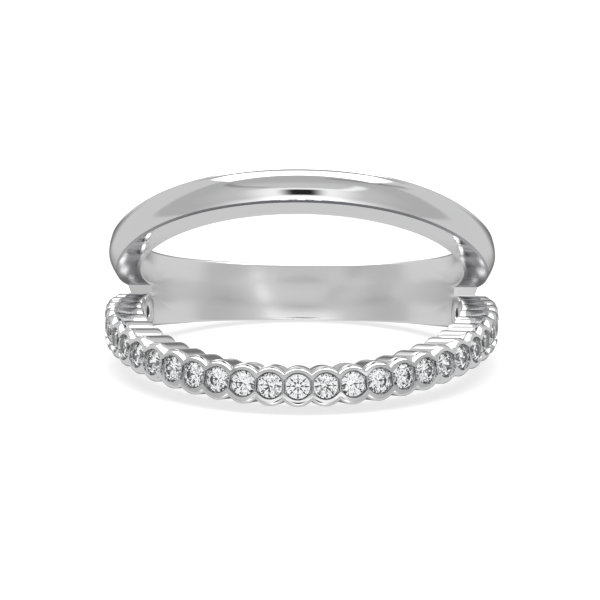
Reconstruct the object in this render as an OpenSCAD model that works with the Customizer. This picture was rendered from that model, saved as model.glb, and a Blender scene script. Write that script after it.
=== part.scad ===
// A ring with a split front. A plain polished band arches above, a scalloped row of
// round stones hangs below, and both run into one shank behind the finger.
// The ring is worked out with the finger's axis upright and the front facing -Y.
// At the end it is tipped back until it rests on the row and on the back of the shank.
// Angles are measured round the finger from the front, and z is height along its axis.

/* [Finger hole] */
// Radius of the finger hole, US size 7
hole_r = 8.65; // [8.2:0.05:8.9]

/* [Plain band] */
// Outer radius along the middle of the plain band
plain_r = 10.38; // [10.2:0.02:10.5]
// Drop of its domed face to the upper shoulder, at the front and at the sides
plain_drop = [0.3, 0.1]; // [0.05:0.01:0.4]
// Drop of that face to the lower shoulder at 0, 45, 75, 95 and 115 degrees
plain_under = [0.49, 0.52, 0.52, 0.29, 0.24]; // [0.1:0.01:0.6]
// Rounding of its outer edges
plain_edge = 0.2; // [0.08:0.01:0.25]
// Rise of its upper and lower faces for each millimetre outward, at the front
plain_lean = 0.4; // [0:0.01:0.5]
// Height of its lower inner edge at 0, 45, 75, 95 and 115 degrees
plain_low = [3.54, 2.64, 1.36, 0.54, 0.13]; // [0.1:0.01:6]
// Height of its upper outer edge at 0, 45, 75, 95 and 115 degrees
plain_top = [5.78, 4.69, 3.17, 2.44, 2.08]; // [1.5:0.01:6]

/* [Stone row] */
// Number of stones on each side of the middle one
side_stones = 14; // [12:1:14]
// Distance from stone to stone along the outer face
stone_pitch = 1.364; // [1.34:0.002:1.38]
// Outer radius of the row
row_r = 10.6; // [10.5:0.02:10.7]
// Radius of each scallop
lobe_r = 0.975; // [0.92:0.005:1]
// Bevel round the outer rim of the scallops
lobe_bevel = 0.1; // [0.04:0.01:0.14]
// Height of the row's middle at 0, 45, 75, 95 and 115 degrees
row_mid = [-4.8, -3.7, -2.22, -1.41, -1.06]; // [-6:0.01:0]
// Radius of the window above each stone
window_r = 0.57; // [0.54:0.01:0.58]
// Radius of the notch between two windows
notch_r = 0.31; // [0.2:0.01:0.34]
// Depth of the bar between two stones below the outer face
bar_depth = 0.1; // [0.05:0.01:0.14]
// Radius of the hole behind each stone
azure_r = 0.32; // [0.2:0.01:0.4]

/* [Shank] */
// Outer radius along the middle of the shank
shank_r = 9.95; // [9.8:0.05:10.1]
// Drop of its outer face from the middle to the edges
shank_drop = 0.1; // [0.05:0.01:0.2]
// Half its width at the back
shank_half = 1.665; // [1.4:0.005:1.9]
// Growth of that half width for the first right angle towards the front
shank_flare = 0.54; // [0.3:0.01:0.6]
// Rounding of its outer edges
shank_edge = 0.35; // [0.2:0.01:0.4]
// Rounding where a finger meets the inner edges
comfort = 0.16; // [0.1:0.01:0.25]
// Angle of the crotch where the two bands part
crotch = 105.5; // [104:0.5:107]

/* [Stones] */
// Diameter of a stone
stone_d = 1.2; // [1.16:0.01:1.22]
// Width of the table as a share of the diameter
table_share = 0.57; // [0.5:0.01:0.62]
// Angle of the main crown facets
crown_angle = 34; // [30:0.5:36]
// Angle of the main pavilion facets
pavilion_angle = 40.8; // [39:0.2:43]
// Thickness of the girdle
girdle = 0.03; // [0.02:0.005:0.05]
// Depth of the table below the outer face of the row
table_depth = 0.05; // [0.02:0.01:0.1]
// Gap between a stone and its seat
seat_gap = 0.015; // [0.01:0.005:0.02]

/* [Hidden] */
stone_count = 2 * side_stones + 1;
function two_digits(n) = n < 10 ? str("0", n) : str(n);
stone_names = [for (n = [1:stone_count]) str("stone_", two_digits(n))];

$fn = 48;
over = 0.25;
knot_angles = [0, 45, 75, 95, 115];
blend_from = 97;
blend_to = 138;
half_strip = 0.1;
branch_r = 10.3;
branch_half = 0.93;
branch_drop = 0.12;
branch_edge = 0.25;
branch_reach = 6;
rear_steps = 36;
front_steps = 52;
branch_steps = 2;
crown_points = 7;
corner = 1 - sqrt(0.5);
foot_r = hole_r - over;
cutter_h = 20;
lower_facet_share = 0.24;
silver = [0.82, 0.82, 0.84];
zirconia = [0.93, 0.95, 1];

// Smooth curves: a polynomial in the cosine of the angle through the five given values
function knot_share(a, i, j = 0) =
    j == len(knot_angles) ? 1
    : j == i ? knot_share(a, i, j + 1)
    : knot_share(a, i, j + 1) * (cos(a) - cos(knot_angles[j]))
        / (cos(knot_angles[i]) - cos(knot_angles[j]));
function height_at(values, a) = values * [for (i = [0:len(knot_angles) - 1]) knot_share(a, i)];

function folded(a) = a > 180 ? 360 - a : abs(a);
function smooth(t) = t <= 0 ? 0 : t >= 1 ? 1 : t * t * (3 - 2 * t);
function mix(p, q, s) = (1 - s) * p + s * q;
function back_share(a) = smooth((a - blend_from) / (blend_to - blend_from));
function shank_half_at(a) = shank_half + shank_flare * (1 + cos(a));
function turned(p, a) = [p[0] * sin(a), -p[0] * cos(a), p[1]];

// Section of one band as [radius, height] points: up the inner wall, over the upper
// edge, down the domed face and round to the lower face
function band_section(low, top, lean, crown_r, drops, edge, inner_edge) =
    let (
        upper_r = crown_r - drops[0],
        lower_r = crown_r - drops[1],
        rise = function(r) top + lean * (r - upper_r),
        foot = function(r) low + lean * (r - hole_r),
        dome_top = rise(upper_r) - edge,
        dome_low = foot(lower_r) + edge
    )
    concat(
        [
            [foot_r, foot(foot_r)],
            [foot_r, rise(foot_r) - inner_edge],
            [hole_r + corner * inner_edge, rise(hole_r) - corner * inner_edge],
            [hole_r + inner_edge, rise(hole_r + inner_edge)],
            [upper_r - edge, rise(upper_r - edge)],
            [upper_r - corner * edge, rise(upper_r) - corner * edge]
        ],
        [
            for (i = [0:crown_points - 1])
            let (u = 1 - 2 * i / (crown_points - 1))
            [crown_r - drops[u > 0 ? 0 : 1] * u * u, mix(dome_low, dome_top, (1 + u) / 2)]
        ],
        [
            [lower_r - corner * edge, foot(lower_r) + corner * edge],
            [lower_r - edge, foot(lower_r - edge)]
        ]
    );

// Upper half of the shank's section, with the same number of points
function shank_section(half) =
    let (shoulder_r = shank_r - shank_drop, last = crown_points + 1)
    concat(
        [
            [foot_r, half_strip],
            [foot_r, half - comfort],
            [hole_r + corner * comfort, half - corner * comfort],
            [hole_r + comfort, half],
            [shoulder_r - shank_edge, half],
            [shoulder_r - corner * shank_edge, half - corner * shank_edge]
        ],
        [
            for (i = [0:last])
            let (z = mix(half - shank_edge, half_strip, i / last))
            [shank_r - shank_drop * pow(z / half, 2), z]
        ]
    );

function flipped(section) = [for (i = [len(section) - 1:-1:0]) [section[i][0], -section[i][1]]];

function upper_section(a) =
    let (
        low = height_at(plain_low, a),
        top = height_at(plain_top, a),
        lean = plain_lean * max(0, cos(a)),
        drops = [mix(plain_drop[0], plain_drop[1], 1 - cos(a)), height_at(plain_under, a)],
        front = band_section(low, top, lean, plain_r, drops, plain_edge, comfort)
    )
    mix(front, shank_section(shank_half_at(a)), back_share(a));

function lower_section(a) =
    let (
        mid = height_at(row_mid, a),
        low = -mid - branch_half,
        top = -mid + branch_half,
        drops = [branch_drop, branch_drop],
        front = band_section(low, top, 0, branch_r, drops, branch_edge, comfort)
    )
    mix(flipped(front), flipped(shank_section(shank_half_at(a))), back_share(a));

// Plain band, shank and the two short branches towards the stone row, in one piece
module band_frame() {
    side = len(upper_section(0));
    whole = 2 * side;
    rear = [for (i = [0:rear_steps]) mix(crotch, 360 - crotch, i / rear_steps)];
    front = [for (i = [1:front_steps - 1]) mix(-crotch, crotch, i / front_steps)];
    branch = [for (i = [1:branch_steps]) crotch - i * branch_reach / branch_steps];
    front_base = whole * len(rear);
    right_base = front_base + side * len(front);
    left_base = right_base + side * branch_steps;

    points = concat(
        [
            for (a = rear)
            for (p = concat(upper_section(folded(a)), lower_section(folded(a))))
            turned(p, a)
        ],
        [for (a = front) for (p = upper_section(folded(a))) turned(p, a)],
        [for (a = branch) for (p = lower_section(a)) turned(p, a)],
        [for (a = branch) for (p = lower_section(a)) turned(p, -a)]
    );

    function rear_point(i, j) = i * whole + j;
    function front_point(i, j) =
        i == 0 ? rear_point(rear_steps, j)
        : i == front_steps ? rear_point(0, j)
        : front_base + (i - 1) * side + j;
    function right_point(i, j) =
        i == 0 ? rear_point(0, side + j) : right_base + (i - 1) * side + j;
    function left_point(i, j) =
        i == 0 ? rear_point(rear_steps, side + j) : left_base + (i - 1) * side + j;
    function skin(p, q, r, s) = [[p, q, r], [p, r, s]];

    rear_faces = [
        for (i = [0:rear_steps - 1])
        for (j = [0:whole - 1])
        let (k = (j + 1) % whole)
        each skin(rear_point(i, j), rear_point(i + 1, j), rear_point(i + 1, k), rear_point(i, k))
    ];
    front_faces = [
        for (i = [0:front_steps - 1])
        for (j = [0:side - 1])
        let (k = (j + 1) % side)
        each skin(front_point(i, j), front_point(i + 1, j), front_point(i + 1, k), front_point(i, k))
    ];
    right_faces = [
        for (i = [0:branch_steps - 1])
        for (j = [0:side - 1])
        let (k = (j + 1) % side)
        each skin(right_point(i + 1, j), right_point(i, j), right_point(i, k), right_point(i + 1, k))
    ];
    left_faces = [
        for (i = [0:branch_steps - 1])
        for (j = [0:side - 1])
        let (k = (j + 1) % side)
        each skin(left_point(i, j), left_point(i + 1, j), left_point(i + 1, k), left_point(i, k))
    ];
    right_wall = skin(
        front_point(front_steps, side - 1), right_point(0, 0),
        right_point(0, side - 1), front_point(front_steps, 0)
    );
    left_wall = skin(
        front_point(0, 0), left_point(0, side - 1),
        left_point(0, 0), front_point(0, side - 1)
    );
    right_end = [[for (j = [0:side - 1]) right_point(branch_steps, j)]];
    left_end = [[for (j = [side:-1:1]) left_point(branch_steps, j % side)]];

    polyhedron(
        points,
        concat(
            rear_faces, front_faces, right_faces, left_faces,
            right_wall, left_wall, right_end, left_end
        ),
        convexity = 6
    );
}

// Angles of the stones, stepped along the row by its length
function row_rise(a) = (height_at(row_mid, a + 0.5) - height_at(row_mid, a - 0.5)) * 180 / PI;
function row_step(a, length) = length / norm([row_r, row_rise(a)]) * 180 / PI;
function row_angle(n) =
    n == 0 ? 0
    : let (a = row_angle(n - 1), half_way = a + row_step(a, stone_pitch / 2))
      a + row_step(half_way, stone_pitch);
function notch_angle(n) = let (a = row_angle(n)) a + row_step(a, stone_pitch / 2);

// Puts a child on the row: its z points outward and its x follows the row
module on_row(a) {
    side = sign(a);
    slope = side * atan(row_rise(abs(a)) / row_r);
    translate([0, 0, height_at(row_mid, abs(a))])
        rotate([0, 0, a])
        rotate([90, 0, 0])
        rotate([0, 0, slope])
        children();
}

module on_each_stone() {
    for (n = [-side_stones:side_stones]) {
        on_row(sign(n) * row_angle(abs(n))) children();
    }
}

module on_each_notch() {
    for (n = [0:side_stones - 1], side = [-1, 1]) {
        on_row(side * notch_angle(n)) children();
    }
}

girdle_r = stone_d / 2;
crown_h = girdle_r * (1 - table_share) * tan(crown_angle);
pavilion_h = girdle_r * tan(pavilion_angle);
table_r = row_r - table_depth;
girdle_top = table_r - crown_h;
girdle_low = girdle_top - girdle;
culet_r = girdle_low - pavilion_h;

module lobe() {
    rotate_extrude()
        polygon([
            [0, foot_r],
            [lobe_r, foot_r],
            [lobe_r, row_r - lobe_bevel],
            [lobe_r - lobe_bevel - over / 4, row_r + over / 4],
            [0, row_r + over / 4]
        ]);
}

// Window, girdle groove, cone and back hole of one seat
module seat() {
    wall_r = girdle_r + seat_gap;
    slack = seat_gap / cos(pavilion_angle);
    cone_low = girdle_low - slack - (wall_r - azure_r) * tan(pavilion_angle);
    lip = wall_r - window_r;
    rotate_extrude()
        polygon([
            [0, foot_r - over],
            [azure_r, foot_r - over],
            [azure_r, cone_low],
            [wall_r, girdle_low - slack],
            [wall_r, girdle_top + slack],
            [window_r, girdle_top + slack + lip * tan(crown_angle)],
            [window_r, row_r + over],
            [0, row_r + over]
        ]);
}

module notch() {
    translate([0, 0, row_r - bar_depth]) cylinder(r = notch_r, h = bar_depth + over);
}

module outer_trim() {
    rotate_extrude()
        translate([row_r, -cutter_h / 2])
        square([1, cutter_h]);
}

module finger_hole() {
    cylinder(r = hole_r, h = cutter_h, center = true);
}

module metal() {
    difference() {
        union() {
            difference() {
                band_frame();
                finger_hole();
            }
            difference() {
                on_each_stone() lobe();
                outer_trim();
                finger_hole();
            }
        }
        on_each_stone() seat();
        on_each_notch() notch();
    }
}

// Round brilliant cut with its table up: eight stars, eight kites, sixteen upper
// halves, sixteen girdle facets, sixteen lower halves and eight pavilion mains
module brilliant() {
    table_corner = girdle_r * table_share;
    star_r = (girdle_r + table_corner * cos(22.5)) / 2;
    star_h = table_r - (star_r * cos(22.5) - table_corner) * tan(crown_angle);
    lower_r = girdle_r * lower_facet_share;
    lower_h = culet_r + lower_r * cos(22.5) * tan(pavilion_angle);
    points = concat(
        [for (i = [0:7]) [table_corner * cos(45 * i), table_corner * sin(45 * i), table_r]],
        [for (i = [0:7]) [star_r * cos(45 * i + 22.5), star_r * sin(45 * i + 22.5), star_h]],
        [for (i = [0:15]) [girdle_r * cos(22.5 * i), girdle_r * sin(22.5 * i), girdle_top]],
        [for (i = [0:15]) [girdle_r * cos(22.5 * i), girdle_r * sin(22.5 * i), girdle_low]],
        [for (i = [0:7]) [lower_r * cos(45 * i + 22.5), lower_r * sin(45 * i + 22.5), lower_h]],
        [[0, 0, culet_r]]
    );
    function table_at(i) = i % 8;
    function star_at(i) = 8 + (i + 8) % 8;
    function top_at(i) = 16 + (i + 16) % 16;
    function low_at(i) = 32 + (i + 16) % 16;
    function main_at(i) = 48 + (i + 8) % 8;
    faces = concat(
        [[for (i = [7:-1:0]) table_at(i)]],
        [for (i = [0:7]) [table_at(i), table_at(i + 1), star_at(i)]],
        [for (i = [0:7]) each [
            [table_at(i), star_at(i), top_at(2 * i)],
            [table_at(i), top_at(2 * i), star_at(i - 1)],
            [star_at(i), top_at(2 * i + 1), top_at(2 * i)],
            [star_at(i), top_at(2 * i + 2), top_at(2 * i + 1)]
        ]],
        [for (i = [0:15]) each [
            [top_at(i), top_at(i + 1), low_at(i + 1)],
            [top_at(i), low_at(i + 1), low_at(i)]
        ]],
        [for (i = [0:7]) each [
            [low_at(2 * i), low_at(2 * i + 1), main_at(i)],
            [low_at(2 * i + 1), low_at(2 * i + 2), main_at(i)],
            [low_at(2 * i), main_at(i), 56],
            [low_at(2 * i), 56, main_at(i - 1)]
        ]]
    );
    polyhedron(points, faces, convexity = 2);
}

// Rest pose: the inner lower rim of the middle scallop and the lower flank at the
// back of the shank touch the floor, and the origin is below the middle of the ring
front_low = row_mid[0] - lobe_r;
flank_r = shank_r - shank_drop - shank_edge;
tilt = atan((-front_low - shank_half) / (hole_r + flank_r));
lift = -(hole_r * sin(tilt) + front_low * cos(tilt));
front_y = -row_r * cos(tilt) + (front_low + lobe_bevel) * sin(tilt);
back_z = shank_half - shank_edge;
back_r = shank_r - shank_drop * pow(back_z / shank_half, 2);
back_y = back_r * cos(tilt) + back_z * sin(tilt);

module at_rest() {
    translate([0, -(front_y + back_y) / 2, lift])
        rotate([-tilt, 0, 0])
        children();
}

module ring_body() {
    color(silver) at_rest() metal();
}

module stone(n) {
    place = n - 1 - side_stones;
    color(zirconia)
        at_rest()
        on_row(sign(place) * row_angle(abs(place)))
        brilliant();
}

ring_body();
for (n = [1:stone_count]) {
    stone(n);
}
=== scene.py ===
import math

import bmesh
import bpy
import numpy as np
from mathutils import Matrix


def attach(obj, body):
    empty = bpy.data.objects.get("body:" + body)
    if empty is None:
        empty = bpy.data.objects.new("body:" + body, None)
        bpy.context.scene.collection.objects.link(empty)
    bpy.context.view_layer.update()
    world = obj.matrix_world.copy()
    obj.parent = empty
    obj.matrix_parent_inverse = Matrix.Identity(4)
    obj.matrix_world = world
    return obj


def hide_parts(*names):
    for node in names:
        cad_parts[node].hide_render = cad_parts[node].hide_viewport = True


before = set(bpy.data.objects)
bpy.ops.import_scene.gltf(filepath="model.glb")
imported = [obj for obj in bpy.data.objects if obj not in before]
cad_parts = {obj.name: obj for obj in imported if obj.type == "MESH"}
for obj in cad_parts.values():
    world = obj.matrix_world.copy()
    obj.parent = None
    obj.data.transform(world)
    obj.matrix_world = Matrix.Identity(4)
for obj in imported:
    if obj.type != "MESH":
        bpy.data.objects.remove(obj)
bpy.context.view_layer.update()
print("frame loaded with", len(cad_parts), "nodes")


def smoothStep(t):
    # 0 below 0, 1 above 1, with the cubic 3t^2 - 2t^3 in between
    t = np.clip(t, 0.0, 1.0)
    return t * t * (3 - 2 * t)


def mix(a, b, share):
    return a + (b - a) * share


# Sizes are in millimetres and degrees, in the ring's own frame: the finger's axis is z, the
# front faces -Y, and angles run round the finger from the front. They repeat the source's.
restPose = {"tilt": 12.7592, "lift": 3.7220, "forward": 0.8289}
finger = {"holeRadius": 8.65, "comfort": 0.16, "innerEdge": 0.07}
knotAngles = np.array([0.0, 45.0, 75.0, 95.0, 115.0])


def heightCurve(values, angle):
    # A polynomial in the cosine of the angle, through the value given at each knot angle
    c = np.cos(np.radians(np.asarray(angle, float)))
    knots = np.cos(np.radians(knotAngles))
    total = np.zeros_like(c)
    for i, value in enumerate(values):
        others = np.delete(knots, i)
        total = total + value * np.prod([(c - k) / (knots[i] - k) for k in others], axis=0)
    return total


def atRest(points):
    # Turns the ring back about x by its tilt, lifts it onto the floor and gives metres
    tilt = math.radians(restPose["tilt"])
    c, s = math.cos(tilt), math.sin(tilt)
    x, y, z = np.moveaxis(np.asarray(points, float), -1, 0)
    y, z = y * c + z * s + restPose["forward"], z * c - y * s + restPose["lift"]
    return np.stack([x, y, z], -1) / 1000


def aroundFinger(radius, angle, height):
    # x = radius sin(angle), y = -radius cos(angle), z = height
    radius, a, height = np.broadcast_arrays(radius, np.radians(angle), height)
    return np.stack([radius * np.sin(a), -radius * np.cos(a), height], -1)


def gridFaces(rows, columns, closed=False):
    # Quads between the neighbouring points of a rows by columns grid
    i, j = np.meshgrid(np.arange(rows - 1), np.arange(columns - 1 + closed), indexing="ij")
    k = (j + 1) % columns
    corners = [i * columns + j, i * columns + k, (i + 1) * columns + k, (i + 1) * columns + j]
    return np.stack(corners, -1).reshape(-1, 4)


def makePiece(name, parts, sharpAngle, material):
    # Each part is a grid of points in the ring's frame, its quads, and the share of painted shade
    # on each quad: darker colour and rougher surface. Shared borders are welded, faces are turned
    # outward, and edges sharper than sharpAngle stay crisp.
    starts = np.cumsum([0] + [part[0].size // 3 for part in parts[:-1]])
    points = np.concatenate([part[0].reshape(-1, 3) for part in parts])
    quads = np.concatenate([part[1] + start for part, start in zip(parts, starts)])
    paintedShade = np.concatenate([part[2] for part in parts])
    first, place = np.unique(np.round(points, 4), axis=0, return_index=True, return_inverse=True)[1:]
    used, corners = np.unique(place.reshape(-1)[quads], return_inverse=True)
    points, corners = points[first][used], corners.reshape(-1, 4)
    repeated = corners == np.roll(corners, 1, axis=1)
    count = repeated.sum(1)
    triangles = corners[count == 1][~repeated[count == 1]].reshape(-1, 3)
    mesh = bpy.data.meshes.new(name)
    mesh.from_pydata(atRest(points), [], corners[count == 0].tolist() + triangles.tolist())
    shell = bmesh.new()
    shell.from_mesh(mesh)
    bmesh.ops.recalc_face_normals(shell, faces=shell.faces)
    shell.to_mesh(mesh)
    shell.free()
    mesh.polygons.foreach_set("use_smooth", np.ones(len(mesh.polygons), bool))
    mesh.set_sharp_from_angle(angle=math.radians(sharpAngle))
    mesh.materials.append(material)
    # painted shade: the share of darkening stored on each face
    shadeShare = mesh.attributes.new("paintedShade", "FLOAT", "FACE")
    shadeShare.data.foreach_set("value", np.concatenate([paintedShade[count == 0], paintedShade[count == 1]]))
    piece = bpy.data.objects.new(name, mesh)
    bpy.context.scene.collection.objects.link(piece)
    edgeOfLoop = np.zeros(len(mesh.loops), int)
    mesh.loops.foreach_get("edge_index", edgeOfLoop)
    openEdges = np.count_nonzero(np.bincount(edgeOfLoop) != 2)
    print(name, len(mesh.vertices), "points,", len(mesh.polygons), "faces,", openEdges, "open edges")
    return piece


def linearColour(hexText):
    # sRGB hex to linear red, green, blue and alpha
    s = np.array([int(hexText[i : i + 2], 16) / 255 for i in (1, 3, 5)])
    return (*np.where(s <= 0.04045, s / 12.92, ((s + 0.055) / 1.055) ** 2.4), 1.0)


def addNode(tree, kind, inputs=None, **settings):
    # Adds a node with its settings, and links or fills the inputs given by name or number
    node = tree.nodes.new(kind)
    for name, value in settings.items():
        setattr(node, name, value)
    for key, value in (inputs or {}).items():
        if isinstance(value, bpy.types.NodeSocket):
            tree.links.new(value, node.inputs[key])
        else:
            node.inputs[key].default_value = value
    return node


def startMaterial(name):
    material = bpy.data.materials.new(name)
    material.use_nodes = True
    material.node_tree.nodes.clear()
    return material, material.node_tree


# Lengths are in millimetres. The roughness runs between the two values of mirror, or of
# satin, while the pattern's grey runs over patternSpan. The satin is full up to the first
# value of satinDepth beyond the finger hole's radius, and gone at the second.
silverFinish = {
    "colour": "#EDEDEE",
    "mirror": (0.02, 0.06),
    "satin": (0.21, 0.25),
    "satinColour": "#F7F7F7",
    "hazeSize": 1.4,
    "grainLength": 4.0,
    "grainWidth": 0.11,
    "grainDepth": 0.00012,
    "patternSpan": (0.3, 0.7),
    "satinDepth": (0.21, 0.3),
    # painted shade: the dark colour and the roughness where the seats, the crotch and the band's lower
    # edge are shaded
    "shadeColour": "#78787C",
    "shadeRoughness": 0.45,
}


def rhodiumPlatedSilver():
    # Sterling silver, cast, buffed and rhodium plated: a bright neutral mirror outside, and a
    # satin face against the finger, where the buffing wheel leaves fine lines round the hole.
    # In the stones' seats, under the band near the crotch and in a fine line along its lower edge,
    # shade is painted: the colour is darker there and the surface rougher.
    look = silverFinish
    material, tree = startMaterial("rhodium_plated_silver_buffed")
    objectPlace = addNode(tree, "ShaderNodeTexCoord").outputs["Object"]
    upright = addNode(
        tree, "ShaderNodeMapping",
        {
            "Vector": objectPlace,
            "Location": (0, restPose["forward"] / 1000, restPose["lift"] / 1000),
            "Rotation": (-math.radians(restPose["tilt"]), 0, 0),
            "Scale": (0.001, 0.001, 0.001),
        },
        vector_type="TEXTURE",
    ).outputs["Vector"]
    flat = addNode(tree, "ShaderNodeVectorMath", {0: upright, 1: (1, 1, 0)}, operation="MULTIPLY")
    radius = addNode(
        tree, "ShaderNodeVectorMath", {0: flat.outputs[0]}, operation="LENGTH"
    ).outputs["Value"]
    full, gone = (finger["holeRadius"] + depth for depth in look["satinDepth"])
    inside = addNode(
        tree, "ShaderNodeMapRange", {"Value": radius, "From Min": gone, "From Max": full},
        interpolation_type="SMOOTHSTEP",
    ).outputs["Result"]
    haze = addNode(
        tree, "ShaderNodeTexNoise", {"Vector": upright, "Scale": 1 / look["hazeSize"], "Detail": 3.0}
    ).outputs["Fac"]
    along, across = 1 / look["grainLength"], 1 / look["grainWidth"]
    stretched = addNode(
        tree, "ShaderNodeMapping", {"Vector": upright, "Scale": (along, along, across)}
    )
    grain = addNode(
        tree, "ShaderNodeTexNoise", {"Vector": stretched.outputs["Vector"], "Scale": 1.0, "Detail": 2.0}
    ).outputs["Fac"]
    dark, pale = look["patternSpan"]
    mirror, satin = (
        addNode(
            tree, "ShaderNodeMapRange",
            {"Value": pattern, "From Min": dark, "From Max": pale, "To Min": low, "To Max": high},
        ).outputs["Result"]
        for pattern, (low, high) in ((haze, look["mirror"]), (grain, look["satin"]))
    )
    # A Mix node takes numbers on its inputs 2 and 3, and colours on 6 and 7
    buffed = addNode(tree, "ShaderNodeMix", {"Factor": inside, 2: mirror, 3: satin}).outputs["Result"]
    # The attribute is the share of painted shade on each face; it darkens the colour and raises the
    # roughness
    shadeShare = addNode(tree, "ShaderNodeAttribute", attribute_name="paintedShade").outputs["Fac"]
    roughness = addNode(
        tree, "ShaderNodeMix", {"Factor": shadeShare, 2: buffed, 3: look["shadeRoughness"]}
    ).outputs["Result"]
    colour = linearColour(look["colour"])
    for share, other in ((inside, "satinColour"), (shadeShare, "shadeColour")):
        colour = addNode(
            tree, "ShaderNodeMix", {"Factor": share, 6: colour, 7: linearColour(look[other])},
            data_type="RGBA",
        ).outputs[2]
    relief = addNode(
        tree, "ShaderNodeBump",
        {"Strength": inside, "Distance": look["grainDepth"] / 1000, "Height": grain},
    ).outputs["Normal"]
    shader = addNode(
        tree, "ShaderNodeBsdfPrincipled",
        {"Base Color": colour, "Metallic": 1.0, "Roughness": roughness, "Normal": relief},
    )
    addNode(tree, "ShaderNodeOutputMaterial", {"Surface": shader.outputs["BSDF"]})
    return material


stoneFinish = {
    "colour": "#FDFEFF",
    "ior": 2.16,
    "polishSize": 0.25,
    "polish": (0.0, 0.015),
    "wearSpan": (0.45, 0.8),
}


def cutZirconia():
    # Cubic zirconia, cut and polished: clear and colourless, with a high refractive index that
    # turns the light back inside, so that facets flash white or go dark
    look = stoneFinish
    material, tree = startMaterial("cubic_zirconia_cut")
    objectPlace = addNode(tree, "ShaderNodeTexCoord").outputs["Object"]
    wear = addNode(
        tree, "ShaderNodeTexNoise",
        {"Vector": objectPlace, "Scale": 1000 / look["polishSize"], "Detail": 1.0},
    ).outputs["Fac"]
    (faint, strong), (low, high) = look["wearSpan"], look["polish"]
    roughness = addNode(
        tree, "ShaderNodeMapRange",
        {"Value": wear, "From Min": faint, "From Max": strong, "To Min": low, "To Max": high},
    ).outputs["Result"]
    shader = addNode(
        tree, "ShaderNodeBsdfPrincipled",
        {
            "Base Color": linearColour(look["colour"]), "Roughness": roughness,
            "IOR": look["ior"], "Transmission Weight": 1.0,
        },
    )
    addNode(tree, "ShaderNodeOutputMaterial", {"Surface": shader.outputs["BSDF"]})
    return material


silver, zirconia = rhodiumPlatedSilver(), cutZirconia()
print("materials made")

# edge and lowerEdge are how far the outer edges are rounded. edgeShade is the share of painted
# shade on the lower one, in front and at the crotch, and crotchShade the share of painted shade
# on the lower face at the crotch, which grows from nothing at the angle darkFrom.
bandShape = {
    "crownRadius": 10.38,
    "upperDrop": (0.3, 0.1),
    "lowerDrop": (0.43, 0.47, 0.5, 0.29, 0.24),
    "edge": 0.2,
    "lowerEdge": 0.04,
    "edgeShade": (1.0, 0.25),
    "crotchShade": 0.65,
    "darkFrom": 50.0,
    "lean": 0.4,
    "leanFade": 0.15,
    "lowHeights": (3.54, 2.64, 1.36, 0.54, 0.13),
    "topHeights": (5.78, 4.69, 3.17, 2.44, 2.08),
    "arcPoints": 8,
    "domePoints": 25,
    "steps": 640,
    "sharpAngle": 40,
}
# The shank's halves meet at foot, close to the middle of its width. Inside, the last grid
# line before the rim stands at insideEnd of the way to it.
shankShape = {
    "radius": 9.95,
    "drop": 0.1,
    "half": 1.665,
    "flare": 0.54,
    "edge": 0.35,
    "crotch": 105.5,
    "blend": (97.0, 138.0),
    "foot": 0.04,
    "comfortDome": 0.14,
    "comfortFlare": 0.04,
    "insideEnd": 0.98,
    "steps": 220,
}
branchShape = {"radius": 10.3, "half": 0.93, "drop": 0.12, "edge": 0.25, "reach": 1.0, "steps": 2}


def section(radius, height):
    return np.stack(np.broadcast_arrays(radius, height), -1)


def roundedCorner(a, corner, b):
    # The conic arc (1-t)^2 a + 2wt(1-t) corner + t^2 b over its own weights, w = sqrt(1/2)
    t = np.linspace(0, 1, bandShape["arcPoints"])[:, None]
    near, mid, far = (1 - t) ** 2, math.sqrt(2) * t * (1 - t), t**2
    a, corner, b = (p[:, None, :] for p in (a, corner, b))
    return (near * a + mid * corner + far * b) / (near + mid + far)


def bandSections(low, top, lean, crown, upperDrop, lowerDrop, edge, lowerEdge):
    # A band's section at every angle, as [angle, point, (radius, height)]: up the inner wall,
    # over the upper face, down the dome, and back along the lower face. The dome's radius
    # falls from the crown with the square of the distance from its middle.
    hole = np.full_like(low, finger["holeRadius"])
    upper, lower = crown - upperDrop, crown - lowerDrop

    def onTop(radius):
        return section(radius, top + lean * (radius - upper))

    def onFoot(radius):
        return section(radius, low + lean * (radius - hole))

    shift = section(0 * low, 0 * low + 1)
    inner, comfort = finger["innerEdge"], finger["comfort"]
    domeTop, domeLow = onTop(upper) - edge * shift, onFoot(lower) + lowerEdge * shift
    u = np.linspace(1, -1, bandShape["domePoints"])[None, :]
    drop = np.where(u > 0, upperDrop[:, None], lowerDrop[:, None])
    height = mix(domeLow[:, 1:], domeTop[:, 1:], (1 + u) / 2)
    return np.concatenate(
        [
            roundedCorner(onFoot(hole + inner), onFoot(hole), onFoot(hole) + inner * shift),
            roundedCorner(onTop(hole) - comfort * shift, onTop(hole), onTop(hole + comfort)),
            roundedCorner(onTop(upper - edge), onTop(upper), domeTop)[:, :-1],
            section(crown[:, None] - drop * u**2, height),
            roundedCorner(domeLow, onFoot(lower), onFoot(lower - lowerEdge))[:, 1:],
        ],
        axis=1,
    )


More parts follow.
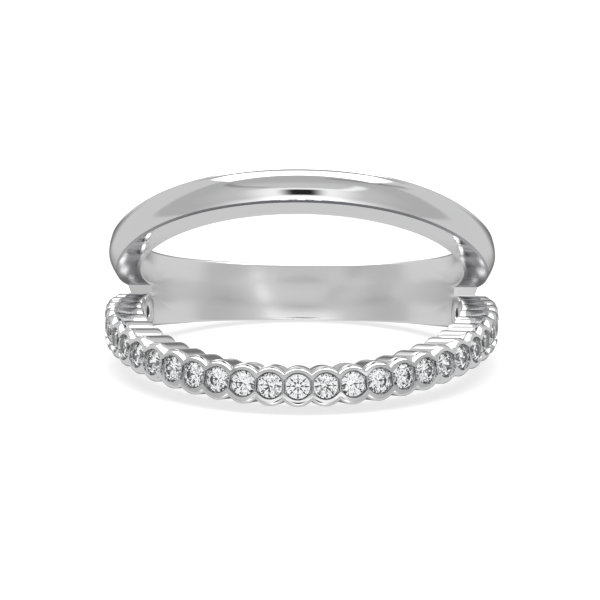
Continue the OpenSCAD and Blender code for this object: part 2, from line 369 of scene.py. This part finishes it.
def shankSections(angle):
    # The upper half of the shank's section, with the same count of points. The shank is
    # widest at the sides, where its half width grows with 1 + cos(angle). Inside, a comfort
    # fit: the radius grows with the square of the height.
    half = shankShape["half"] + shankShape["flare"] * (1 + np.cos(np.radians(angle)))
    hole, comfort, edge = finger["holeRadius"], finger["comfort"], shankShape["edge"]
    shoulder = shankShape["radius"] - shankShape["drop"]
    foot, footPoints = shankShape["foot"], bandShape["arcPoints"]
    sidePoints = bandShape["domePoints"] + footPoints - 1
    share = np.linspace(0, shankShape["insideEnd"], footPoints)[None, :]
    inside = mix(foot, (half - comfort)[:, None], share)
    rim = hole + shankShape["comfortDome"]
    flared = rim + shankShape["comfortFlare"]
    height = mix((half - edge)[:, None], foot, np.linspace(0, 1, sidePoints)[None, :])
    side = shankShape["radius"] - shankShape["drop"] * (height / half[:, None]) ** 2
    return np.concatenate(
        [
            section(mix(hole, rim, (inside / (half - comfort)[:, None]) ** 2), inside),
            roundedCorner(
                section(rim, half - comfort), section(flared, half), section(rim + comfort, half)
            ),
            roundedCorner(
                section(shoulder - edge, half), section(shoulder, half), section(shoulder, half - edge)
            )[:, :-1],
            section(side, height),
        ],
        axis=1,
    )


def intoShank(front, angle):
    # Blends a band's section into the shank's over the blend's angles
    start, end = shankShape["blend"]
    share = smoothStep((angle - start) / (end - start))
    return mix(front, shankSections(angle), share[:, None, None])


def upperSections(angle):
    # The plain band in front, and the upper half of the shank behind. The band's faces lean
    # by the cosine c of the angle, and (c + sqrt(c^2 + fade^2)) / 2 in its place lets the
    # lean fade past the sides without a crease.
    c = np.cos(np.radians(angle))
    leaning = (c + np.sqrt(c**2 + bandShape["leanFade"] ** 2)) / 2
    front = bandSections(
        heightCurve(bandShape["lowHeights"], angle),
        heightCurve(bandShape["topHeights"], angle),
        bandShape["lean"] * leaning,
        bandShape["crownRadius"] + 0 * c,
        mix(*bandShape["upperDrop"], 1 - c),
        heightCurve(bandShape["lowerDrop"], angle),
        bandShape["edge"],
        bandShape["lowerEdge"],
    )
    return intoShank(front, angle)


def lowerSections(angle):
    # The branch behind the stone row, and the lower half of the shank: built as an upper
    # one and turned over
    middle = -heightCurve(rowShape["middleHeights"], angle)
    flat, drop = 0 * middle, branchShape["drop"] + 0 * middle
    front = bandSections(
        middle - branchShape["half"], middle + branchShape["half"], flat,
        branchShape["radius"] + flat, drop, drop, branchShape["edge"], branchShape["edge"],
    )
    return intoShank(front, angle)[:, ::-1] * np.array([1, -1])


def carried(sections, angle, shadeShare=0.0):
    # Carries the sections round the finger's axis, each at its own angle. skin is the share
    # of painted shade, one number for all quads or an array with one for each.
    points = aroundFinger(sections[..., 0], angle[:, None], sections[..., 1])
    rows, columns = points.shape[:2]
    quads = gridFaces(rows, columns, closed=True)
    return points, quads, np.broadcast_to(shadeShare, (rows - 1, columns)).reshape(-1)


def endCap(loop):
    # Triangles from a loop of points to its middle
    count = len(loop)
    j = np.arange(count)
    corners = np.stack([j, (j + 1) % count, 0 * j + count, 0 * j + count], -1)
    return np.concatenate([loop, loop.mean(0)[None, :]]), corners, np.zeros(count)


def bandAndShank():
    # The shank and the plain band, carried round the finger, then on each side the stub of
    # the branch that the row ends on, with the wall between the two bands at the crotch
    crotch, darkFrom = shankShape["crotch"], bandShape["darkFrom"]
    rear = np.linspace(crotch, 360 - crotch, shankShape["steps"] + 1)
    folded = np.minimum(rear, 360 - rear)
    parts = [carried(np.concatenate([upperSections(folded), lowerSections(folded)], 1), rear)]

    front = np.linspace(-crotch, crotch, bandShape["steps"] + 1)
    sections = upperSections(np.abs(front))
    halfWay = np.abs(front[1:] + front[:-1]) / 2
    # Painted shade on the lower edge's rounding, full in front and less at the crotch, and on the lower
    # face near the crotch
    edgeShade = mix(*bandShape["edgeShade"], smoothStep(halfWay / crotch))
    faceShade = bandShape["crotchShade"] * smoothStep((halfWay - darkFrom) / (crotch - darkFrom))
    shadeShare = np.zeros((len(halfWay), sections.shape[1]))
    shadeShare[:, -bandShape["arcPoints"] - 1 : -1] = edgeShade[:, None]
    shadeShare[:, -1] = faceShade
    parts.append(carried(sections, front, shadeShare))

    stub = np.linspace(crotch - branchShape["reach"], crotch, branchShape["steps"] + 1)
    band, row = upperSections(stub[-1:])[0], lowerSections(stub[-1:])[0]
    wall = np.stack([band[-1], band[0], row[-1], row[0]])
    for side in (1, -1):
        branch = carried(lowerSections(stub), side * stub)
        corners = aroundFinger(wall[:, 0], side * crotch, wall[:, 1])
        parts += [branch, endCap(branch[0][0]), (corners, np.arange(4)[None, :], np.zeros(1))]
    return makePiece("plain_band_and_shank", parts, bandShape["sharpAngle"], silver)


# The channel's wall rises from wallFoot of the way between seat and channel edge to wallLean
# beyond that edge, or wallHead of the way to the tile's end if that is nearer. wallShade is the
# wall's share of painted shade in front and at the sides, between the two paleStones, and
# floorShade the floor's. The bevels list the inset and the drop, in shares of bevel, from the face
# to the flank.
rowShape = {
    "sideStones": 14,
    "pitch": 1.364,
    "radius": 10.6,
    "lobe": 0.975,
    "bevel": 0.19,
    "crown": 0.12,
    "middleHeights": (-4.8, -3.7, -2.22, -1.41, -1.06),
    "channel": 0.61,
    "gap": 0.31,
    "floorDepth": 0.2,
    "floorSlope": 0.03,
    "barDepth": 0.06,
    "barHalf": 0.05,
    "wallLean": 0.045,
    "wallFoot": 0.97,
    "wallHead": 0.7,
    "floorShade": 0.2,
    "wallShade": (0.85, 0.25),
    "paleStones": (1, 6),
    "backHole": 0.32,
    "soft": 0.05,
    "upperBevel": ((1.0, 0.0), (0.85, 0.05), (0.68, 0.17), (0.12, 0.78), (0.0, 1.0)),
    "lowerBevel": ((1.0, 0.0), (0.78, 0.06), (0.48, 0.21), (0.14, 0.63), (0.0, 1.0)),
    "railColumns": 24,
    "seamColumns": 4,
    "barColumns": 9,
    "cornerGap": 0.003,
    "railShares": (0, 0.33, 0.67, 1),
    "flankRows": 6,
    "sharpAngle": 28,
}
stoneShape = {
    "diameter": 1.2,
    "table": 0.57,
    "crownAngle": 34.0,
    "pavilionAngle": 40.8,
    "girdle": 0.03,
    "tableDepth": 0.05,
    "seatGap": 0.015,
}


def rowRise(angle):
    # Millimetres that the row's middle rises for each radian round the finger
    middle = rowShape["middleHeights"]
    return (heightCurve(middle, angle + 0.5) - heightCurve(middle, angle - 0.5)) * 180 / math.pi


# The length along the row's outer face from the front to each angle, past the last stone
rowAngles, rowStep = np.linspace(0, 125, 5001, retstep=True)
rowPace = np.hypot(rowShape["radius"], rowRise(rowAngles)) * np.radians(rowStep)
rowLength = np.concatenate([[0], np.cumsum((rowPace[1:] + rowPace[:-1]) / 2)])


def onRow(along, across, radius):
    # A point at a distance along the row's outer face and across it, at a radius. Lines
    # across the row stay square to it, and every line in depth runs to the finger's axis.
    side = np.sign(along)
    angle = np.interp(np.abs(along), rowLength, rowAngles)
    slope = side * np.arctan(rowRise(angle) / rowShape["radius"])
    height = heightCurve(rowShape["middleHeights"], angle) + across * np.cos(slope)
    turn = side * angle - np.degrees(across * np.sin(slope) / radius)
    return aroundFinger(radius, turn, height)


def channelEdge(along):
    # Half width of the open channel: the fourth root of circle^4 + gap^4, so a circle round
    # the stone runs smoothly into the straight gap between two stones
    circle = np.sqrt(np.maximum(rowShape["channel"] ** 2 - along**2, 0))
    return (circle**4 + rowShape["gap"] ** 4) ** 0.25


def tileColumns(isLast):
    # The tile's outline at its bevel, once round: the upper rail, the seam with the next
    # stone, the lower rail and the other seam. A last tile ends in a half circle instead.
    # The bar lies in the seam's middle, with a column cornerGap to each side of its corners.
    half, lobe, bevel = rowShape["pitch"] / 2, rowShape["lobe"], rowShape["bevel"]
    gap, beside, count = rowShape["gap"], rowShape["cornerGap"], rowShape["railColumns"]
    seamEnd = math.sqrt(lobe**2 - half**2) - bevel
    railAlong = half * np.linspace(1, -1, count + 1)[:-1]
    railAcross = np.sqrt(lobe**2 - railAlong**2) - bevel
    seamRail = np.linspace(seamEnd, gap + beside, rowShape["seamColumns"])
    bar = np.linspace(gap - beside, -gap + beside, rowShape["barColumns"])
    seamAcross = np.concatenate([seamRail, bar, -seamRail[::-1]])[:-1]
    seamAlong = np.full(len(seamAcross), half)
    along = np.concatenate([railAlong, -seamAlong, -railAlong, seamAlong])
    across = np.concatenate([railAcross, seamAcross, -railAcross, -seamAcross])
    onSeam = np.concatenate([0 * railAlong, 1 + 0 * seamAlong, 0 * railAlong, 1 + 0 * seamAlong]) > 0
    order = np.roll(np.arange(len(along)), len(seamAlong) + count // 2)
    along, across, onSeam = along[order], across[order], onSeam[order]
    beyond = np.zeros(len(along), bool)
    if isLast:
        beyond[: len(seamAlong) + count] = True
        turn = np.linspace(-math.pi / 2, math.pi / 2, beyond.sum() + 1)[:-1]
        along[beyond], across[beyond] = (lobe - bevel) * np.cos(turn), (lobe - bevel) * np.sin(turn)
        onSeam = onSeam & ~beyond
    return along, across, onSeam, beyond


def rowTile(place):
    # One scallop with its seat: a sheet from the inner face through the back hole, the
    # cone, the girdle's groove and the channel to the rails, and the flanks outside it
    row, stone = rowShape, stoneShape
    outer, hole, half, lobe = row["radius"], finger["holeRadius"], row["pitch"] / 2, row["lobe"]
    soft, bend = row["soft"], row["soft"] * 0.3  # a rounded rim and the middle of its curve
    endAlong, endAcross, onSeam, beyond = tileColumns(abs(place) == row["sideStones"])
    end = np.hypot(endAlong, endAcross)
    c, s = endAlong / end, endAcross / end
    onBar = onSeam & (np.abs(endAcross) < row["gap"])
    seamShare = endAcross / (math.sqrt(lobe**2 - half**2) - row["bevel"])

    def outline(radius, inset):
        # Where the scallop's outline lies at that radius, drawn in by the inset
        shrink = radius / outer
        rail = np.sqrt(np.maximum(lobe**2 - (endAlong * shrink) ** 2, 0)) - inset
        seam = seamShare * (np.sqrt(lobe**2 - (half * shrink) ** 2) - inset)
        across = np.where(onSeam, seam, np.sign(endAcross) * rail)
        return (
            np.where(beyond, (lobe - inset) * c / shrink, endAlong),
            np.where(beyond, (lobe - inset) * s, across),
            radius + 0 * across,
        )

    def ring(size, radius):
        return size * c * outer / radius, size * s, radius + 0 * c

    def between(a, b, share):
        return tuple(mix(p, q, share) for p, q in zip(a, b))

    def face(across):
        # The outer face is crowned: it falls by the crown at the scallop's own edge
        return outer - row["crown"] * (across / lobe) ** 2

    # Distance from the stone's middle to the channel's edge, by halving, or to the bar
    alwaysInside, halvings = 0.5, 30
    near, far = np.full(len(end), alwaysInside), end.copy()
    for _ in range(halvings):
        middle = (near + far) / 2
        inChannel = np.abs(middle * s) < channelEdge(middle * c)
        near, far = np.where(inChannel, middle, near), np.where(inChannel, far, middle)
    edge = np.where(beyond, channelEdge(0.0), near)
    safe = np.where(onBar, np.abs(c), 1)
    edge = np.where(onBar, (half - row["barHalf"]) / safe, edge)

    girdle = stone["diameter"] / 2
    crownHeight = girdle * (1 - stone["table"]) * math.tan(math.radians(stone["crownAngle"]))
    girdleLow = outer - stone["tableDepth"] - crownHeight - stone["girdle"]
    pavilion = math.radians(stone["pavilionAngle"])
    slack = stone["seatGap"] / math.cos(pavilion)
    wall = girdle + stone["seatGap"]
    coneLow = girdleLow - slack - (wall - row["backHole"]) * math.tan(pavilion)
    floor = outer - row["floorDepth"]

    inner, back = outline(hole, soft), ring(row["backHole"] + soft, hole)
    rows = [between(inner, back, share) for share in (0, 0.5, 1)]
    rows += [
        ring(row["backHole"] + bend, hole + bend),
        ring(row["backHole"], hole + soft),
        ring(row["backHole"], coneLow),
        ring(wall, girdleLow - slack),
        ring(wall, floor),
    ]
    foot = mix(wall, edge, row["wallFoot"])
    head = np.minimum(edge + row["wallLean"], mix(edge, end, row["wallHead"]))
    rise = row["floorSlope"] * np.clip((edge - wall) / (row["gap"] / 2), 0, 1)
    rows.append((foot * c, foot * s, floor + rise))
    for share in row["railShares"]:
        reach = mix(head, end, share)
        top = np.where(onBar, outer - row["barDepth"], face(reach * s))
        rows.append((reach * c, reach * s, top))
    sheet = [np.stack(x) for x in zip(*rows)]

    flank = []
    for above, below in zip(row["upperBevel"], row["lowerBevel"]):
        inset, down = (np.where(endAcross > 0, *pair) for pair in zip(above, below))
        spot = outline(outer, inset * row["bevel"])
        flank.append((spot[0], spot[1], face(spot[1]) - down * row["bevel"]))
    bevelEnd, shares = flank[-1][2], np.linspace(0, 1, row["flankRows"] + 1)[1:]
    flank += [outline(mix(bevelEnd, hole + soft, share), 0.0) for share in shares]
    flank += [outline(hole + bend, bend), inner]
    flank = [np.stack(x) for x in zip(*flank)]

    # Painted shade on each strip of the sheet, a darker colour and rougher surface: none on the inner
    # face and its rim, all of it in the back hole and the cone, some on the girdle's wall, the
    # channel's floor and the channel's wall, and none on the rails
    start, stop = row["paleStones"]
    onWall = mix(*row["wallShade"], smoothStep((abs(place) - start) / (stop - start)))
    shadeShare = np.array([0, 0, 0, 0, 1, 1, onWall, row["floorShade"], onWall, 0, 0, 0])
    side = -1 if place < 0 else 1
    centre = place * row["pitch"]
    parts = [
        (
            onRow(centre + side * sheet[0], sheet[1], sheet[2]),
            gridFaces(*sheet[0].shape, closed=True),
            np.repeat(shadeShare, len(end)),
        )
    ]
    walls = np.arange(len(end))[~onSeam]
    for span in np.split(walls, np.flatnonzero(np.diff(walls) > 1) + 1):
        columns = np.append(span, (span[-1] + 1) % len(end))
        along, across, radius = (x[:, columns] for x in flank)
        quads = gridFaces(*along.shape)
        parts.append((onRow(centre + side * along, across, radius), quads, np.zeros(len(quads))))
    return parts


def stoneRow():
    count = rowShape["sideStones"]
    parts = [part for place in range(-count, count + 1) for part in rowTile(place)]
    return makePiece("stone_row_settings", parts, rowShape["sharpAngle"], silver)


for piece in (bandAndShank(), stoneRow()):
    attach(piece, "root")
    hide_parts("ring_body")
print("metal made")

stones = [node for name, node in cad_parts.items() if name.startswith("stone_")]
for node in stones:
    node.data.materials.clear()
    node.data.materials.append(zirconia)
print(len(stones), "stones dressed")

floorShape = {"half": 4.0, "colour": "#BCBCBC", "glow": 0.6}


def makeFloor():
    # A sheet of matt white paper, lit from behind too, so that shadows on it stay pale
    half = floorShape["half"]
    corners = half * np.array([[-1, -1, 0], [1, -1, 0], [1, 1, 0], [-1, 1, 0]])
    mesh = bpy.data.meshes.new("floor")
    mesh.from_pydata(corners, [], [(0, 1, 2, 3)])
    material, tree = startMaterial("backlit_matt_paper")
    shader = addNode(
        tree, "ShaderNodeBsdfPrincipled",
        {
            "Base Color": linearColour(floorShape["colour"]), "Roughness": 1.0,
            "Specular IOR Level": 0.0,
            "Emission Color": (1, 1, 1, 1), "Emission Strength": floorShape["glow"],
        },
    )
    addNode(tree, "ShaderNodeOutputMaterial", {"Surface": shader.outputs["BSDF"]})
    mesh.materials.append(material)
    floor = bpy.data.objects.new("floor", mesh)
    bpy.context.scene.collection.objects.link(floor)
    floor.visible_glossy = False


makeFloor()

# The studio as the ring sees it. Azimuth is measured from the camera's side, positive to the
# right, and elevation from the floor, both in degrees. The wall's level is linear, and 1 is
# paper white. Each patch is a soft-edged box that multiplies the light inside it by its gain:
# gain, middle, half size, soft edge, slant, and whether it lies on both sides alike. Light
# that leaves a stone meets a brighter wall with black cards, as a stone is lit to sparkle.
tent = {
    "wall": 0.49,
    "patches": [
        (1.28, (0, -32), (43, 66), (20, 14), 0, True),  # the front of the tent
        (1.36, (180, 0), (96, 100), (5, 5), 0, True),  # its back half
        (1.65, (0, -57), (24, 52), (10, 4), 0, True),  # brighter low in front
        (1.65, (31.5, 11), (20, 4), (6, 3), 63.4, False),  # bright streak, front right
        (0.6, (-39.5, 24), (29, 2.5), (6, 3), -40.2, False),  # dim streak, front left
        (0.55, (66, 50), (39, 3), (6, 3), -13.3, False),  # dim streak, high at the right
        (0.5, (128, 66), (9, 8), (5, 4), 0, False),  # dim spot, high behind at the right
        (1.8, (0, -90), (60, 25), (24, 12), 0, True),  # bright floor close in front
        (0.02, (0, -35.5), (9, 18.5), (5, 4), 0, True),  # black card, low in front
        (0.12, (0, -90), (45, 10.5), (12, 2), 0, True),  # dark card straight below
        (0.3, (180, -6), (32, 40), (14, 10), 0, True),  # dark panel behind
        (4.0, (-165, 32), (12, 14), (6, 6), 0, False),  # lamp behind at the left
    ],
    "stoneWall": 1.12,
    "stonePatches": [
        (0.03, (0, 12), (12, 12), (3, 3), 0, True),  # black round the lens
        (0.1, (48, 10), (6, 70), (3, 8), 12, True),  # tall black cards at both sides
        (0.3, (0, -75), (110, 20), (10, 8), 0, True),  # dark floor in front
        (0.1, (0, 52), (70, 5), (10, 3), 0, True),  # black bar, high in front
    ],
    "overhead": {
        "level": 2.2,
        "across": 0.78,
        "back": -0.5,
        "front": 0.27,
        "soft": 0.06,
        "lowest": 0.05,
    },
    "background": 1.0,
}


def patchCover(tree, directions, middle, half, soft, slant):
    # 1 inside the patch, 0 outside, smooth across its soft edge
    turned = addNode(
        tree, "ShaderNodeMapping",
        {"Vector": directions, "Location": (*middle, 0), "Rotation": (0, 0, math.radians(slant))},
        vector_type="TEXTURE",
    )
    reach = addNode(tree, "ShaderNodeVectorMath", {0: turned.outputs["Vector"]}, operation="ABSOLUTE")
    outside, inside = (
        [size + sign * blur for size, blur in zip(half, soft)] + [end]
        for sign, end in ((1, 1), (-1, 0))
    )
    cover = addNode(
        tree, "ShaderNodeMapRange", {6: reach.outputs[0], 7: outside, 8: inside},
        data_type="FLOAT_VECTOR", interpolation_type="SMOOTHSTEP",
    )
    parts = addNode(tree, "ShaderNodeSeparateXYZ", {0: cover.outputs["Vector"]}).outputs
    return addNode(tree, "ShaderNodeMath", {0: parts[0], 1: parts[1]}, operation="MULTIPLY").outputs[0]


def makeTent():
    world = bpy.data.worlds.new("light_tent")
    bpy.context.scene.world = world
    world.use_nodes = True
    tree = world.node_tree
    tree.nodes.clear()
    direction = addNode(tree, "ShaderNodeTexCoord").outputs["Generated"]
    x, y, z = addNode(tree, "ShaderNodeSeparateXYZ", {0: direction}).outputs
    front = addNode(tree, "ShaderNodeMath", {0: y, 1: -1.0}, operation="MULTIPLY").outputs[0]
    turn = addNode(tree, "ShaderNodeMath", {0: x, 1: front}, operation="ARCTAN2").outputs[0]
    rise = addNode(tree, "ShaderNodeMath", {0: z}, operation="ARCSINE").outputs[0]
    azimuth, elevation = (
        addNode(tree, "ShaderNodeMath", {0: angle}, operation="DEGREES").outputs[0]
        for angle in (turn, rise)
    )
    away = addNode(tree, "ShaderNodeMath", {0: azimuth}, operation="ABSOLUTE").outputs[0]
    oneSided, mirrored = (
        addNode(tree, "ShaderNodeCombineXYZ", {0: angle, 1: elevation}).outputs[0]
        for angle in (azimuth, away)
    )

    def wallLight(level, patches):
        light = level
        for gain, middle, half, soft, slant, onBothSides in patches:
            directions = mirrored if onBothSides else oneSided
            cover = patchCover(tree, directions, middle, half, soft, slant)
            factor = addNode(
                tree, "ShaderNodeMath", {0: cover, 1: gain - 1, 2: 1.0}, operation="MULTIPLY_ADD"
            ).outputs[0]
            light = addNode(
                tree, "ShaderNodeMath", {0: light, 1: factor}, operation="MULTIPLY"
            ).outputs[0]
        return light

    # The softbox overhead is a rectangle at unit height, so x/z and -y/z say where a
    # direction meets it, with z no less than lowest
    roof = tent["overhead"]
    height = addNode(tree, "ShaderNodeMath", {0: z, 1: roof["lowest"]}, operation="MAXIMUM").outputs[0]
    meetsAcross, meetsFront = (
        addNode(tree, "ShaderNodeMath", {0: side, 1: height}, operation="DIVIDE").outputs[0]
        for side in (x, front)
    )
    spot = addNode(tree, "ShaderNodeCombineXYZ", {0: meetsAcross, 1: meetsFront}).outputs[0]
    middle = (0, (roof["front"] + roof["back"]) / 2)
    half = (roof["across"], (roof["front"] - roof["back"]) / 2)
    softbox = patchCover(tree, spot, middle, half, (roof["soft"], roof["soft"]), 0)
    light = addNode(
        tree, "ShaderNodeMath",
        {0: softbox, 1: roof["level"], 2: wallLight(tent["wall"], tent["patches"])},
        operation="MULTIPLY_ADD",
    ).outputs[0]
    path = addNode(tree, "ShaderNodeLightPath").outputs
    stoneLight = wallLight(tent["stoneWall"], tent["stonePatches"])
    for way, level in (("Is Transmission Ray", stoneLight), ("Is Camera Ray", tent["background"])):
        light = addNode(
            tree, "ShaderNodeMix", {"Factor": path[way], 2: light, 3: level}
        ).outputs["Result"]
    glow = addNode(tree, "ShaderNodeBackground", {"Color": (1, 1, 1, 1), "Strength": light})
    addNode(tree, "ShaderNodeOutputWorld", {"Surface": glow.outputs["Background"]})


makeTent()
bpy.context.scene.view_settings.view_transform = "Standard"
print("floor and light made")

# The camera stands 90 mm from the middle of the ring, a little below the ring's own plane,
# which puts it about 12 degrees above the floor once the ring is tipped back. ringMiddle is
# where the ring's middle falls in the frame, in pixels, turn and roll are in degrees, slope
# is the climb of the line of sight, raise is in millimetres, and clip is in metres.
photoCamera = {
    "distance": 90.0,
    "frameWidth": 600,
    "pixelsPerMm": 18.48,
    "ringMiddle": (301.9, 290.0),
    "roll": 0.404,
    "turn": -0.87,
    "slope": 0.01517,
    "raise": 0.021,
    "sensor": 36.0,
    "clip": (0.001, 20.0),
}


def makeCamera():
    shot = photoCamera
    width = shot["frameWidth"]
    turn, roll, tilt = (math.radians(a) for a in (shot["turn"], shot["roll"], restPose["tilt"]))
    ahead = np.array([math.sin(turn), math.cos(turn), shot["slope"]])
    spot = -shot["distance"] * ahead - np.array([0, 0, shot["raise"]])
    ahead = ahead / np.linalg.norm(ahead)
    right = np.array([math.cos(turn), -math.sin(turn), 0.0])
    up = np.cross(right, ahead)
    c, s = math.cos(roll), math.sin(roll)
    right, up = c * right + s * up, c * up - s * right
    c, s = math.cos(tilt), math.sin(tilt)
    tip = np.array([[1, 0, 0], [0, c, s], [0, -s, c]])
    data = bpy.data.cameras.new("photo_camera")
    data.sensor_width = shot["sensor"]
    data.lens = shot["sensor"] * shot["pixelsPerMm"] * shot["distance"] / width
    data.shift_x = (width / 2 - shot["ringMiddle"][0]) / width
    data.shift_y = (shot["ringMiddle"][1] - width / 2) / width
    data.clip_start, data.clip_end = shot["clip"]
    camera = bpy.data.objects.new("photo_camera", data)
    bpy.context.scene.collection.objects.link(camera)
    matrix = np.eye(4)
    matrix[:3, :3] = tip @ np.stack([right, up, -ahead], 1)
    matrix[:3, 3] = atRest(spot)
    camera.matrix_world = Matrix(matrix.tolist())
    bpy.context.scene.camera = camera


makeCamera()
print("camera placed")
